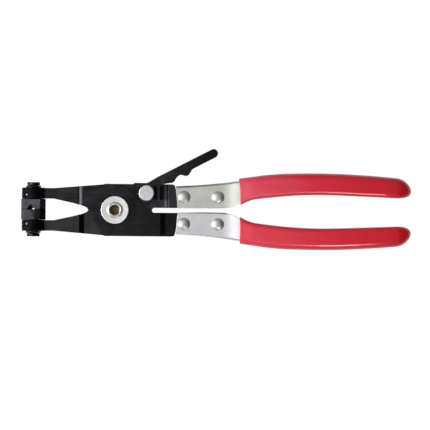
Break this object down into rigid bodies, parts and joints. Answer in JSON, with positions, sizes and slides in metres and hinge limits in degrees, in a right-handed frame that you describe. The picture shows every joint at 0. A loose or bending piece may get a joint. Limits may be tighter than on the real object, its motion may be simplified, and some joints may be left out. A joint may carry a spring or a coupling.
{
  "type": "hose clamp pliers",
  "caption": "Hose clamp pliers with grooved swivel jaws, a spring-loaded locking lever and dipped grips.",
  "frame": {"origin": "pivot axis at the flat back of the pivot rivet, on which the tool lies", "axes": "+X from the pivot towards the ends of the grips, +Y towards the locking lever, +Z along the pivot rivet, out of the face with its clinched end"},
  "size_m": [0.2209, 0.0568, 0.0137],
  "materials": {
    "black_steel": "black phosphate, satin",
    "zinc_steel": "zinc plated, satin",
    "bright_steel": "polished plating",
    "spring_steel": "drawn wire",
    "red_vinyl": "dipped vinyl, glossy"
  },
  "bodies": {
    "rear_half": {"rear_jaw_plate": "black_steel", "pivot_rivet": "bright_steel", "pivot_washer": "bright_steel", "upper_handle": "zinc_steel", "upper_grip": "red_vinyl", "upper_handle_near_rivet": "zinc_steel", "upper_handle_far_rivet": "zinc_steel", "lever_rivet": "zinc_steel", "lever_bush": "zinc_steel", "lever_spring": "spring_steel", "lower_jaw_washer": "black_steel", "lower_retaining_pin": "black_steel"},
    "front_half": {"front_jaw_plate": "black_steel", "lower_handle": "zinc_steel", "lower_grip": "red_vinyl", "lower_handle_near_rivet": "zinc_steel", "lower_handle_far_rivet": "zinc_steel", "upper_jaw_washer": "black_steel", "upper_retaining_pin": "black_steel"},
    "locking_lever": {"lock_lever": "black_steel"},
    "upper_jaw": {"upper_swivel_jaw": "black_steel"},
    "lower_jaw": {"lower_swivel_jaw": "black_steel"}
  },
  "joints": [
    {"name": "main_pivot", "type": "hinge", "parent": "rear_half", "child": "front_half", "pos_m": [0, 0, 0.00525], "axis": [0, 0, -1], "range_deg": [0, 35]},
    {"name": "lever_pivot", "type": "hinge", "parent": "rear_half", "child": "locking_lever", "pos_m": [0.01784, 0.00974, 0.00525], "axis": [0, 0, 1], "range_deg": [-10, 7], "stiffness_Nm_per_rad": 0.03, "deforming": ["lever_spring"]},
    {"name": "upper_jaw_swivel", "type": "hinge", "parent": "front_half", "child": "upper_jaw", "pos_m": [-0.04629, 0, 0.00525], "axis": [0, 1, 0], "continuous": true},
    {"name": "lower_jaw_swivel", "type": "hinge", "parent": "rear_half", "child": "lower_jaw", "pos_m": [-0.04629, 0, 0.00525], "axis": [0, 1, 0], "continuous": true}
  ]
}
